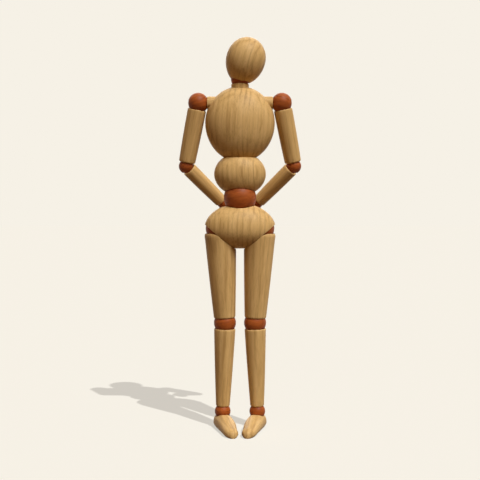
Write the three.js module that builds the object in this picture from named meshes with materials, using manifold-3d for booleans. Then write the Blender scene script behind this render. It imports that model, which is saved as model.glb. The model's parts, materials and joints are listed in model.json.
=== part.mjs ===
// A jointed wooden drawing figure that stands on its own feet with its hands behind its back.
// Millimetres, +Z up. The figure faces -Y, and right and left are its own sides, with right at -X.
// Stained balls lie between pale turned pieces, and steel springs inside pull them all together.
import * as THREE from 'three';
import { mergeVertices } from 'three/addons/utils/BufferGeometryUtils.js';
import Module from 'manifold-3d';

const wasm = await Module();
wasm.setup();
const deg = Math.PI / 180;

// Gaps and rims
const clearance = 0.3;
const lip = 0.6;
const armLip = 1.1;
const edgeRound = 0.6;
const limbSwell = 0.15;

// Head and neck
const headHalfWidth = 15;
const headHalfHeight = 18;
const headCrown = 0.07;
const headAboveBall = 14.6;
const headTilt = 16.5;
const neckRadius = 6.75;
const neckBallRadius = 6.9;
const neckBallAboveChest = 5.3;
const neckSpigot = 7;

// Torso
const chestHalfWidth = 26.6;
const chestHalfDepth = 18;
const chestRise = 27.7;
const chestFall = 30;
const chestBaseDrop = 26.6;
const abdomenHalfWidth = 19.8;
const abdomenHalfDepth = 14.5;
const abdomenHalfHeight = 16.5;
const abdomenTopRise = 12.2;
const abdomenAboveWaist = 18;
const waistBallRadius = 12.4;
const waistAbovePelvis = 23.5;
const pelvisHalfWidth = 27;
const pelvisRadius = 16;
const pelvisRise = 18.9;
const pelvisFlatDrop = 15.4;

// Arms
const shoulderHalfSpan = 31.9;
const shoulderRise = 15;
const shoulderBallRadius = 7.7;
const shoulderRaise = 75;
const stubRadius = 5;
const stubTenon = 5;
const upperArmLength = 49.3;
const upperArmTopRadius = 7.1;
const upperArmEndRadius = 6.4;
const armOut = 11.5;
const armBack = 9.5;
const elbowBallRadius = 5.8;
const forearmLength = 42.5;
const forearmTopRadius = 5.7;
const forearmEndRadius = 5.1;
const forearmIn = 45;
const forearmBack = 30;
const wristBallRadius = 4.4;
const handLength = 29;
const handHalfWidth = 5.4;
const handThickness = 6;
const handHookLength = 12;
const thumbHalfWidth = 1.8;
const thumbHalfLength = 5.5;
const thumbSpread = 14;
const handIn = 12;
const handBack = 14;

// Legs
const hipHalfSpan = 15.3;
const hipBallRadius = 10.4;
const hipOpeningFrom = 16.3;
const hipOpeningTop = 1.5;
const thighLength = 73;
const thighTopRadius = 11.8;
const thighEndRadius = 8.4;
const thighRimDrop = 5;
const thighIn = 2.9;
const hipGap = 0.5;
const hipBossRadius = 4.5;
const hipSwing = 28;
const hipSpread = 25;
const kneeBallRadius = 8.5;
const kneeRange = 50;
const shinLength = 69;
const shinTopRadius = 8.2;
const shinEndRadius = 5.4;
const shinOut = 1.5;
const legLean = 2;
const ankleBallRadius = 6.1;
const ankleHeight = 12.5;
const footLength = 48;
const footHeel = 10;
const footHeelHalfWidth = 6.7;
const footBallHalfWidth = 6.3;
const footToeHalfWidth = 5;
const footHeelHeight = 9.9;
const footToeHeight = 6;
const footYaw = 13;
const footHookEnd = 1.8;
const footEdge = 0.28;

// Steel inside
const wireRadius = 0.4;
const coilRadius = 2.4;
const coilTurns = 3;
const capPitch = 1.3;
const capTurns = 2;
const coilLead = 1;
const boreRadius = 3.1;
const loopRadius = 1.5;
const linkRise = 0.55;
const eyeRadius = 1.3;
const eyeWire = 0.5;
const studRadius = 0.6;
const studHeadRadius = 1.5;
const studHeadHeight = 1;
const beadBore = 2.4;
const wristFlare = 44;
const ankleFlare = 38;
const waistFlare = 32;
const neckFlare = 34;
const shoulderSpringHalf = 17;
const hipSpringHalf = 5.2;

// Facet counts
const aroundLimb = 16;
const aroundBall = 14;
const aroundBody = 20;
const aroundCup = 20;
const aroundWire = 3;
const aroundStud = 6;
const stepsPerTurn = 7;
const cupSteps = 2;

const paleWood = new THREE.MeshStandardMaterial({ color: 0xc9a56f, roughness: 0.55, metalness: 0 });
const stainedWood = new THREE.MeshStandardMaterial({ color: 0x9a4a20, roughness: 0.45, metalness: 0 });
const steel = new THREE.MeshStandardMaterial({ color: 0x9a9c9e, roughness: 0.35, metalness: 1 });

// Solids and cuts

function closed(geometry) {
  const bare = geometry.index ? geometry.clone() : mergeVertices(geometry.clone());
  bare.deleteAttribute('normal');
  bare.deleteAttribute('uv');
  const merged = mergeVertices(bare, 1e-4);
  const index = merged.index.array;
  const kept = [];
  for (let i = 0; i < index.length; i += 3) {
    const [a, b, c] = [index[i], index[i + 1], index[i + 2]];
    if (a !== b && b !== c && c !== a) kept.push(a, b, c);
  }
  merged.setIndex(kept);
  return signedVolume(merged) < 0 ? flipped(merged) : merged;
}

function signedVolume(geometry) {
  const point = geometry.attributes.position;
  const corner = [new THREE.Vector3(), new THREE.Vector3(), new THREE.Vector3()];
  let total = 0;
  for (let i = 0; i < geometry.index.count; i += 3) {
    corner.forEach((v, k) => v.fromBufferAttribute(point, geometry.index.getX(i + k)));
    total += corner[0].dot(corner[1].clone().cross(corner[2]));
  }
  return total / 6;
}

function flipped(geometry) {
  const index = geometry.index.array;
  for (let i = 0; i < index.length; i += 3) [index[i], index[i + 1]] = [index[i + 1], index[i]];
  return geometry;
}

function solid(geometry) {
  const bare = closed(geometry);
  return new wasm.Manifold(new wasm.Mesh({
    numProp: 3,
    vertProperties: Float32Array.from(bare.attributes.position.array),
    triVerts: Uint32Array.from(bare.index.array),
  }));
}

function shaped(body) {
  const mesh = body.getMesh();
  const geometry = new THREE.BufferGeometry();
  geometry.setAttribute('position', new THREE.BufferAttribute(Float32Array.from(mesh.vertProperties), 3));
  geometry.setIndex(new THREE.BufferAttribute(Uint32Array.from(mesh.triVerts), 1));
  return geometry;
}

function without(body, ...cuts) {
  return cuts.reduce((left, cut) => left.subtract(cut), body);
}

// Plain forms, each about the Z axis unless it says otherwise

function turned(profile, around = aroundLimb) {
  const points = profile.map(([radius, height]) => new THREE.Vector2(radius, height));
  return closed(new THREE.LatheGeometry(points, around).rotateX(Math.PI / 2));
}

function rod(radius, low, high, around = 12) {
  return turned([[0, low], [radius, low], [radius, high], [0, high]], around);
}

function rodAlongX(radius, low, high, around = 12) {
  return rod(radius, low, high, around).rotateY(Math.PI / 2);
}

function ball(radius, around = aroundBall) {
  return closed(new THREE.SphereGeometry(radius, around, around / 2).rotateX(Math.PI / 2));
}

// An egg-like body with its own half height above and below the middle.
function swollen(halfWidth, halfDepth, rise, fall, around = aroundBody) {
  const geometry = new THREE.SphereGeometry(1, around, around / 2).rotateX(Math.PI / 2);
  const point = geometry.attributes.position;
  for (let i = 0; i < point.count; i++) {
    const height = point.getZ(i);
    point.setXYZ(i, point.getX(i) * halfWidth, point.getY(i) * halfDepth, height * (height > 0 ? rise : fall));
  }
  return closed(geometry);
}

function block(width, depth, height) {
  return closed(new THREE.BoxGeometry(width, depth, height));
}

// The circle points of a ball or cup from one height to another, in profile.
function arc(radius, fromHeight, toHeight, centre, steps = cupSteps) {
  const from = Math.acos(fromHeight / radius);
  const to = Math.acos(toHeight / radius);
  const points = [];
  for (let i = 0; i <= steps; i++) {
    const angle = from + (to - from) * i / steps;
    points.push([radius * Math.sin(angle), centre + radius * Math.cos(angle)]);
  }
  return points;
}

// How far from a ball's centre the rim of a cup lies, for a piece of this radius at its end.
function rimDrop(ballRadius, endRadius, lipWidth) {
  const cup = ballRadius + clearance;
  const mouth = Math.min(endRadius - lipWidth, 0.92 * cup);
  return Math.sqrt(cup * cup - mouth * mouth);
}

// A turned limb that hangs down -Z from the ball above it, with a cup at each end and a bore between.
function limb(length, top, end) {
  const topCup = top.ball + clearance;
  const endCup = end.ball + clearance;
  const topRim = rimDrop(top.ball, top.radius, top.lip);
  const endRim = rimDrop(end.ball, end.radius, end.lip);
  const topSeat = Math.sqrt(topCup ** 2 - boreRadius ** 2);
  const endSeat = Math.sqrt(endCup ** 2 - boreRadius ** 2);
  return turned([
    ...arc(topCup, -topSeat, -topRim, 0),
    [top.radius - edgeRound, -topRim],
    [top.radius, -topRim - edgeRound],
    [(top.radius + end.radius) / 2 + limbSwell, -length / 2],
    [end.radius, endRim - length + edgeRound],
    [end.radius - edgeRound, endRim - length],
    ...arc(endCup, endRim, endSeat, -length),
    [boreRadius, -topSeat],
  ]);
}

// A bead on a chain link: a ball with a hole that flares to both ends.
function flaredBead(radius, flare) {
  const reach = radius * Math.cos(flare * deg);
  const outside = arc(radius, reach, -reach, 0, 7);
  return turned([...outside, [beadBore, 0], outside[0]], aroundBall);
}

// A ball that holds an eye stud: its child's wire swings in a slot square to the bend axis X.
// Angles run from the straight-on direction -Z towards +Y.
function slottedBall(radius, fromAngle, toAngle, counterbore) {
  const slotHalf = loopRadius + wireRadius + clearance;
  const eyeRoom = eyeRadius + eyeWire + clearance;
  const spare = Math.asin((wireRadius + clearance) / eyeRoom) / deg;
  const reach = radius + 1;
  const sector = new THREE.Shape();
  sector.moveTo(0, 0);
  const steps = 6;
  for (let i = 0; i <= steps; i++) {
    const angle = (fromAngle - spare + (toAngle - fromAngle + 2 * spare) * i / steps) * deg;
    sector.lineTo(1.3 * reach * Math.cos(angle), 1.3 * reach * Math.sin(angle));
  }
  const slot = new THREE.ExtrudeGeometry(sector, { depth: 2 * slotHalf, bevelEnabled: false });
  slot.translate(0, 0, -slotHalf).rotateY(Math.PI / 2);
  return shaped(without(
    solid(ball(radius)),
    solid(slot),
    solid(rodAlongX(eyeRoom, -slotHalf, slotHalf)),
    solid(rod(studRadius + clearance, 0, reach)),
    solid(rod(boreRadius, radius - counterbore, reach)),
  ));
}

// An eye stud up +Z: a ring round the ball's centre, a shank, and a head that a spring holds.
function eyeStud(headAt) {
  const ring = new THREE.TorusGeometry(eyeRadius, eyeWire, 4, 8).rotateY(Math.PI / 2);
  const shank = turned([
    [0, eyeRadius], [studRadius, eyeRadius], [studRadius, headAt],
    [studHeadRadius, headAt], [studHeadRadius, headAt + studHeadHeight], [0, headAt + studHeadHeight],
  ], aroundStud);
  return shaped(solid(ring).add(solid(shank)));
}

// A screw hook down -Z whose ring links with another at the centre of a bead.
function linkHook(length) {
  const ring = new THREE.TorusGeometry(loopRadius, wireRadius, 4, 8).rotateX(Math.PI / 2);
  ring.translate(0, 0, linkRise - loopRadius);
  const shank = rod(studRadius, -length, linkRise - 2 * loopRadius, aroundStud);
  return shaped(solid(ring).add(solid(shank)));
}

// Wire forms: a path is a list of points that a round wire follows

class WirePath extends THREE.Curve {
  constructor(points) {
    super();
    this.points = points;
  }
  getPoint(t, target = new THREE.Vector3()) {
    const last = this.points.length - 1;
    const step = Math.min(Math.floor(t * last + 1e-9), last - 1);
    return target.lerpVectors(this.points[step], this.points[step + 1], t * last - step);
  }
  getPointAt(t, target) {
    return this.getPoint(t, target);
  }
  getTangentAt(t, target = new THREE.Vector3()) {
    const last = this.points.length - 1;
    const here = Math.round(t * last);
    const before = this.points[Math.max(here - 1, 0)];
    const after = this.points[Math.min(here + 1, last)];
    const into = this.points[here].clone().sub(before).normalize();
    const out = after.clone().sub(this.points[here]).normalize();
    return target.copy(into).add(out).normalize();
  }
}

function wire(points) {
  const section = new THREE.Shape();
  for (let i = 0; i < aroundWire; i++) {
    const angle = 2 * Math.PI * i / aroundWire;
    section[i ? 'lineTo' : 'moveTo'](wireRadius * Math.cos(angle), wireRadius * Math.sin(angle));
  }
  const path = new WirePath(points);
  return closed(new THREE.ExtrudeGeometry(section, {
    steps: points.length - 1, extrudePath: path, bevelEnabled: false,
  }));
}

// An open loop with its far side at the given height, and a leg that goes on along the axis.
// Its plane holds the axis and the direction `across`; `away` is -1 for a leg down and +1 for up.
function loopEnd(farSide, across, away, legEnd) {
  const openAngle = 55 * deg;
  const lastAngle = 25 * deg;
  const steps = 8;
  const centre = farSide + away * loopRadius;
  const points = [];
  for (let i = 0; i <= steps; i++) {
    const angle = 2 * Math.PI - openAngle - (2 * Math.PI - openAngle - lastAngle) * i / steps;
    const point = across.clone().multiplyScalar(loopRadius * Math.sin(angle));
    point.z = centre + away * loopRadius * Math.cos(angle);
    points.push(point);
  }
  points.push(new THREE.Vector3(0, 0, centre + away * (loopRadius + 2 * wireRadius)));
  points.push(new THREE.Vector3(0, 0, legEnd));
  return points;
}

function coil(top, bottom) {
  const points = [];
  for (let i = 0; i <= coilTurns * stepsPerTurn; i++) {
    const angle = 2 * Math.PI * i / stepsPerTurn;
    const height = top + (bottom - top) * i / (coilTurns * stepsPerTurn);
    points.push(new THREE.Vector3(coilRadius * Math.cos(angle), coilRadius * Math.sin(angle), height));
  }
  return points;
}

// The drawn-in end of a coil, which closes round a stud's shank below its head.
function drawnIn(from, away) {
  const endRadius = studRadius + clearance + wireRadius;
  const start = Math.atan2(from.y, from.x);
  const points = [];
  const spin = away < 0 ? 1 : -1;
  for (let i = 1; i <= capTurns * stepsPerTurn; i++) {
    const angle = start + spin * 2 * Math.PI * i / stepsPerTurn;
    const share = Math.min(1, i / stepsPerTurn);
    const radius = coilRadius + (endRadius - coilRadius) * share;
    const height = from.z + away * capPitch * i / stepsPerTurn;
    points.push(new THREE.Vector3(radius * Math.cos(angle), radius * Math.sin(angle), height));
  }
  return points;
}
const alongX = new THREE.Vector3(1, 0, 0);
const alongY = new THREE.Vector3(0, 1, 0);
const alongZ = new THREE.Vector3(0, 0, 1);

// A limb's spring: a loop in the ball above, a coil in the bore, and a drawn-in end round a stud.
function studSpring(coilTop, coilBottom) {
  const turns = coil(coilTop, coilBottom);
  return wire([
    ...loopEnd(0, alongX, -1, coilTop + coilLead),
    ...turns,
    ...drawnIn(turns.at(-1), -1),
  ]);
}

// A limb's spring with a loop in the ball above and a linking loop in the bead below.
function linkSpring(coilTop, coilBottom, length) {
  const below = loopEnd(-length - linkRise, alongY, 1, coilBottom - coilLead);
  return wire([
    ...loopEnd(0, alongX, -1, coilTop + coilLead),
    ...coil(coilTop, coilBottom),
    ...below.reverse(),
  ]);
}

// A cross spring along Z with a drawn-in end round a stud at each end.
function crossSpring(halfLength) {
  const turns = coil(halfLength, -halfLength);
  const upper = drawnIn(turns[0], 1);
  return wire([...upper.reverse(), ...turns, ...drawnIn(turns.at(-1), -1)]);
}

// Lofted forms

// Rings of points, one for each station, joined into one closed skin with flat ends.
function loft(rings) {
  const across = rings[0].length;
  const points = rings.flat();
  const index = [];
  for (let i = 0; i + 1 < rings.length; i++) {
    for (let j = 0; j < across; j++) {
      const [a, b] = [i * across + j, i * across + (j + 1) % across];
      index.push(a, b, a + across, b, b + across, a + across);
    }
  }
  const last = (rings.length - 1) * across;
  for (let j = 1; j + 1 < across; j++) {
    index.push(0, j + 1, j, last, last + j, last + j + 1);
  }
  const geometry = new THREE.BufferGeometry();
  geometry.setAttribute('position', new THREE.Float32BufferAttribute(points.flatMap((p) => p.toArray()), 3));
  geometry.setIndex(index);
  return closed(geometry);
}

// A foot about the ankle's foot point: a flat sole, a high heel end and a low round toe, towards -Y.
function footForm() {
  const stations = [0.004, 0.05, 0.2, 0.45, 0.7, 0.86, 0.95, 0.997];
  const toeLength = 0.3;
  const heelRound = 0.2;
  const upperPoints = 7;
  const soleShare = 0.8;
  return loft(stations.map((share) => {
    const toHeel = Math.sqrt(1 - Math.max(0, 1 - share / heelRound) ** 2);
    const toToe = Math.sqrt(1 - Math.max(0, 1 - (1 - share) / toeLength) ** 2);
    const swell = share < 0.6
      ? THREE.MathUtils.lerp(footHeelHalfWidth, footBallHalfWidth, share / 0.6)
      : THREE.MathUtils.lerp(footBallHalfWidth, footToeHalfWidth, (share - 0.6) / 0.4);
    const halfWidth = swell * toHeel * toToe;
    const slope = THREE.MathUtils.smoothstep(share, 0.28, 0.95);
    const top = THREE.MathUtils.lerp(footHeelHeight, footToeHeight, slope);
    const height = top * Math.sqrt(toHeel) * Math.sqrt(toToe);
    const y = footHeel - share * footLength;
    const ring = [new THREE.Vector3(halfWidth * soleShare, y, 0)];
    for (let i = 0; i < upperPoints; i++) {
      const angle = Math.PI * i / (upperPoints - 1);
      const side = Math.sign(Math.cos(angle)) * Math.abs(Math.cos(angle)) ** 0.8;
      const rise = footEdge + (1 - footEdge) * Math.sin(angle) ** 0.8;
      ring.push(new THREE.Vector3(halfWidth * side, y, height * rise));
    }
    ring.push(new THREE.Vector3(-halfWidth * soleShare, y, 0));
    return ring;
  }));
}

// A mitten hand down -Z from the wrist ball, with its palm across Y and a thumb on the +X side.
function handForm() {
  const start = wristBallRadius * 0.85;
  const widths = [0.72, 0.8, 0.95, 1, 0.95, 0.82, 0.6, 0.25];
  const depths = [0.66, 0.66, 0.58, 0.5, 0.46, 0.42, 0.33, 0.14];
  const lowered = [0, 0.14, 0.32, 0.5, 0.68, 0.84, 0.95, 1];
  const around = 10;
  const mitten = loft(lowered.map((share, i) => Array.from({ length: around }, (_, j) => {
    const angle = 2 * Math.PI * j / around;
    return new THREE.Vector3(handHalfWidth * widths[i] * Math.cos(angle),
      handThickness * depths[i] * Math.sin(angle), -start - (handLength - start) * share);
  })));
  const thumb = swollen(thumbHalfWidth, thumbHalfWidth, thumbHalfLength, thumbHalfLength, 8);
  thumb.rotateY(-thumbSpread * deg).translate(handHalfWidth, 0, -handLength * 0.45);
  return solid(mitten).add(solid(thumb));
}

// Frames: a group at a joint's centre, with its Z and X axes set from directions

function frame(name, centre, zDirection, xDirection) {
  const z = zDirection.clone().normalize();
  const x = xDirection.clone().addScaledVector(z, -xDirection.dot(z)).normalize();
  const y = z.clone().cross(x);
  const group = new THREE.Group();
  group.name = name;
  group.quaternion.setFromRotationMatrix(new THREE.Matrix4().makeBasis(x, y, z));
  group.position.copy(centre);
  return group;
}

function piece(name, geometry, material) {
  const mesh = new THREE.Mesh(geometry, material);
  mesh.name = name;
  return mesh;
}

// Heights, worked out from the soles upwards

function leaning(toX, toY) {
  return new THREE.Vector3(Math.tan(toX * deg), Math.tan(toY * deg), -1).normalize();
}

function along(start, direction, distance) {
  return start.clone().addScaledVector(direction, distance);
}

const thighDown = leaning(thighIn, legLean);
const shinDown = leaning(-shinOut, legLean);
const upperArmDown = leaning(-armOut, armBack);
const forearmDown = leaning(forearmIn, forearmBack);
const handDown = leaning(handIn, handBack);
const headUp = new THREE.Vector3(Math.sin(headTilt * deg), 0, Math.cos(headTilt * deg));

const pelvisHeight = ankleHeight - thighDown.z * thighLength - shinDown.z * shinLength;
const waistHeight = pelvisHeight + waistAbovePelvis;
const abdomenHeight = waistHeight + abdomenAboveWaist;
const chestHeight = abdomenHeight + abdomenTopRise + clearance + chestBaseDrop;
const shoulderHeight = chestHeight + shoulderRise;
const neckBallHeight = chestHeight + chestRise + neckBallAboveChest;

const pelvisCentre = new THREE.Vector3(0, 0, pelvisHeight);
const waistCentre = new THREE.Vector3(0, 0, waistHeight);
const abdomenCentre = new THREE.Vector3(0, 0, abdomenHeight);
const chestCentre = new THREE.Vector3(0, 0, chestHeight);
const neckBallCentre = new THREE.Vector3(0, 0, neckBallHeight);
const hip = new THREE.Vector3(-hipHalfSpan, 0, pelvisHeight);
const knee = along(hip, thighDown, thighLength);
const ankle = along(knee, shinDown, shinLength);
const shoulder = new THREE.Vector3(-shoulderHalfSpan, 0, shoulderHeight);
const elbow = along(shoulder, upperArmDown, upperArmLength);
const wrist = along(elbow, forearmDown, forearmLength);

// Where springs end and stud heads sit, measured along each piece from the ball above it

const capLength = capPitch * capTurns;
const headBehindCap = clearance;
const coilGap = (ballRadius) => ballRadius + 2 * clearance + wireRadius;
const coilStart = (ballRadius) => -coilGap(ballRadius) - coilLead;
const coilEnd = (length, ballRadius) => coilGap(ballRadius) + capLength - length;
const studHead = (ballRadius) => coilGap(ballRadius) + capLength + headBehindCap;

// Torso

function chestSolid() {
  const body = solid(swollen(chestHalfWidth, chestHalfDepth, chestRise, chestFall));
  const below = solid(block(4 * chestHalfWidth, 4 * chestHalfDepth, chestFall)
    .translate(0, 0, -chestBaseDrop - chestFall / 2));
  const neckHole = solid(rod(neckRadius + clearance, chestRise - neckSpigot - clearance, 2 * chestRise, aroundLimb));
  const crossBore = solid(rodAlongX(boreRadius, -chestHalfWidth, chestHalfWidth).translate(0, 0, shoulderRise));
  const studHole = solid(rod(studRadius + clearance, -2 * chestBaseDrop, chestStudTop + clearance, aroundStud));
  const sockets = [-1, 1].map((side) => solid(
    rodAlongX(stubRadius + clearance, stubInner - clearance, 2 * chestHalfWidth, aroundLimb)
      .scale(side, 1, 1).translate(0, 0, shoulderRise)));
  return shaped(without(body, below, neckHole, crossBore, studHole, ...sockets));
}
const chestStudTop = shoulderRise - boreRadius - 3;
const chestSideAtShoulder = chestHalfWidth * Math.sqrt(1 - (shoulderRise / chestRise) ** 2);
const stubInner = chestSideAtShoulder - stubTenon;

function abdomenSolid() {
  const body = solid(swollen(abdomenHalfWidth, abdomenHalfDepth, abdomenHalfHeight, abdomenHalfHeight));
  const above = solid(block(4 * abdomenHalfWidth, 4 * abdomenHalfDepth, abdomenHalfHeight)
    .translate(0, 0, abdomenTopRise + abdomenHalfHeight / 2));
  const cup = solid(ball(waistBallRadius + clearance, aroundCup).translate(0, 0, -abdomenAboveWaist));
  const bore = solid(rod(boreRadius, -2 * abdomenHalfHeight, 2 * abdomenHalfHeight));
  return shaped(without(body, above, cup, bore));
}

// The pelvis is round about the hip axis below, so that the thighs swing against it.
function pelvisBody(spare) {
  return solid(swollen(pelvisHalfWidth + spare, pelvisRadius + spare, pelvisRise + spare, pelvisRadius + spare));
}

function pelvisSolid() {
  const below = solid(block(4 * pelvisHalfWidth, 4 * pelvisRadius, pelvisRadius)
    .translate(0, 0, -pelvisFlatDrop - pelvisRadius / 2));
  const cup = solid(ball(waistBallRadius + clearance, aroundCup).translate(0, 0, waistAbovePelvis));
  const eyeHole = solid(rod(studRadius + clearance, waistAbovePelvis - waistEyeLength - clearance,
    waistAbovePelvis, aroundStud));
  const crossBore = solid(rodAlongX(boreRadius, -hipHalfSpan, hipHalfSpan));
  const hips = [-1, 1].flatMap((side) => [
    solid(ball(hipBallRadius + clearance, aroundCup).translate(side * hipHalfSpan, 0, 0)),
    solid(hipSlot().scale(side, 1, 1)),
    solid(hipOpening().translate(side * (hipOpeningFrom + pelvisHalfWidth), 0, hipOpeningTop - pelvisRadius)),
  ]);
  return shaped(without(pelvisBody(0), below, cup, eyeHole, crossBore, ...hips));
}

// The open outer side of a hip, where the ball shows between pelvis and thigh.
function hipOpening() {
  return block(2 * pelvisHalfWidth, 4 * pelvisRadius, 2 * pelvisRadius);
}

// The room below a hip ball in which the thigh's boss swings to the front and back.
function hipSlot() {
  const bossAngle = Math.asin((hipBossRadius + clearance) / (hipBallRadius + clearance)) / deg;
  const half = (hipSwing + bossAngle + 1) * deg;
  const reach = 3 * pelvisRadius;
  const sector = new THREE.Shape();
  sector.moveTo(0, 0);
  sector.lineTo(reach * Math.cos(half), -reach * Math.sin(half));
  sector.lineTo(reach * Math.cos(half), reach * Math.sin(half));
  const lean = pelvisRadius * Math.tan(thighIn * deg);
  const inner = hipHalfSpan - hipBossRadius - 2 * clearance - lean;
  const slot = new THREE.ExtrudeGeometry(sector, { depth: pelvisHalfWidth, bevelEnabled: false });
  return closed(slot.rotateY(Math.PI / 2).translate(inner, 0, 0));
}
const waistEyeLength = waistBallRadius + 6.5;

function headSolid() {
  const egg = swollen(headHalfWidth, headHalfWidth, headHalfHeight, headHalfHeight);
  const point = egg.attributes.position;
  for (let i = 0; i < point.count; i++) {
    const widen = 1 + headCrown * point.getZ(i) / headHalfHeight;
    point.setXY(i, point.getX(i) * widen, point.getY(i) * widen);
  }
  egg.translate(0, 0, headAboveBall);
  const cup = solid(ball(neckBallRadius + clearance, aroundCup));
  const bore = solid(rod(boreRadius, 0, headBoreTop + clearance));
  return shaped(without(solid(egg), cup, bore));
}
const headBoreTop = headAboveBall + headHalfHeight / 2;

function neckSolid() {
  const cup = neckBallRadius + clearance;
  const rim = rimDrop(neckBallRadius, neckRadius, lip);
  const hole = studRadius + clearance;
  const bottom = -neckBallAboveChest - neckSpigot;
  return turned([
    [hole, bottom], [hole, -Math.sqrt(cup ** 2 - hole ** 2)],
    ...arc(cup, -Math.sqrt(cup ** 2 - hole ** 2), -rim, 0).slice(1),
    [neckRadius - edgeRound / 2, -rim], [neckRadius, -rim - edgeRound / 2],
    [neckRadius, bottom], [hole, bottom],
  ]);
}

function spineSpring() {
  const top = abdomenTopRise + abdomenAboveWaist - clearance - wireRadius - capLength;
  const bottom = coilGap(waistBallRadius) + coilLead;
  const turns = coil(top, bottom);
  return wire([
    ...drawnIn(turns[0], 1).reverse(),
    ...turns,
    ...loopEnd(-linkRise, alongX, 1, bottom - coilLead).reverse(),
  ]);
}
const spineHeadDrop = chestBaseDrop + 2 * clearance + wireRadius + capLength + headBehindCap;

function chestStud() {
  const low = -spineHeadDrop - studHeadHeight;
  return turned([
    [0, low], [studHeadRadius, low], [studHeadRadius, -spineHeadDrop],
    [studRadius, -spineHeadDrop], [studRadius, chestStudTop], [0, chestStudTop],
  ], aroundStud);
}

function headSpring() {
  const bottom = coilGap(neckBallRadius) + coilLead;
  return wire([
    ...loopEnd(-linkRise, alongX, 1, bottom - coilLead),
    ...coil(bottom, headBoreTop - wireRadius),
  ]);
}

function shoulderStub() {
  const cup = shoulderBallRadius + clearance;
  const rim = rimDrop(shoulderBallRadius, stubRadius, lip);
  const seat = Math.sqrt(cup ** 2 - boreRadius ** 2);
  const inner = shoulderHalfSpan - stubInner;
  return turned([
    ...arc(cup, seat, rim, 0, 2),
    [stubRadius, rim], [stubRadius, inner], [boreRadius, inner], [boreRadius, seat],
  ]);
}

function thighSolid() {
  const cup = kneeBallRadius + clearance;
  const rim = rimDrop(kneeBallRadius, thighEndRadius, lip);
  const seat = Math.sqrt(cup ** 2 - boreRadius ** 2);
  const slope = (thighTopRadius - thighEndRadius) / (thighLength - rim - thighRimDrop);
  const outside = turned([
    [0, -thighRimDrop], [thighTopRadius - edgeRound, -thighRimDrop], [thighTopRadius, -thighRimDrop - edgeRound],
    [thighTopRadius - slope * thighLength / 2 + limbSwell, -thighLength / 2],
    [thighEndRadius, rim - thighLength + edgeRound],
    [thighEndRadius - edgeRound, rim - thighLength],
    ...arc(cup, rim, seat, -thighLength), [0, seat - thighLength],
  ], aroundBody);
  const pelvisRoom = pelvisBody(hipGap).transform(thighToPelvis().elements);
  const boss = solid(rod(hipBossRadius, -thighTopRadius * 2, -hipBallRadius / 2, aroundLimb));
  const socket = solid(ball(hipBallRadius + clearance, aroundCup));
  const bore = solid(rod(boreRadius, -thighLength, 0));
  return shaped(without(without(solid(outside), pelvisRoom).add(boss), socket, bore));
}

// The pelvis as the thigh's own frame sees it.
function thighToPelvis() {
  const thighFrame = frame('', hip, thighDown.clone().negate(), hipBend);
  thighFrame.updateMatrix();
  return thighFrame.matrix.clone().invert().multiply(new THREE.Matrix4().setPosition(pelvisCentre));
}

function footSolid() {
  const body = solid(footForm());
  const cup = solid(ball(ankleBallRadius + clearance, aroundCup).translate(0, 0, ankleHeight));
  const hole = solid(rod(studRadius + clearance, footHookEnd - clearance, ankleHeight, aroundStud));
  return shaped(without(body, cup, hole));
}

function handSolid() {
  const cup = solid(ball(wristBallRadius + clearance, aroundCup));
  const hole = solid(rod(studRadius + clearance, -handHookLength - clearance, 0, aroundStud));
  return shaped(without(handForm(), cup, hole));
}

const hipCounterbore = hipBallRadius - hipHalfSpan + hipSpringHalf + capLength + wireRadius + clearance;

// Bend axes, square to the two pieces that a slotted ball joins

const towardsMiddle = alongX;
const shoulderBend = upperArmDown.clone().cross(towardsMiddle).normalize();
const elbowBend = forearmDown.clone().cross(upperArmDown.clone().negate()).normalize();
const hipBend = thighDown.clone().cross(towardsMiddle).normalize();
const kneeBend = alongX;
const angleBetween = (a, b) => a.angleTo(b) / deg;
const shoulderRest = angleBetween(upperArmDown, alongX.clone().negate());
const elbowRest = angleBetween(forearmDown, upperArmDown);
const hipRest = angleBetween(thighDown, alongX.clone().negate());

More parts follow.
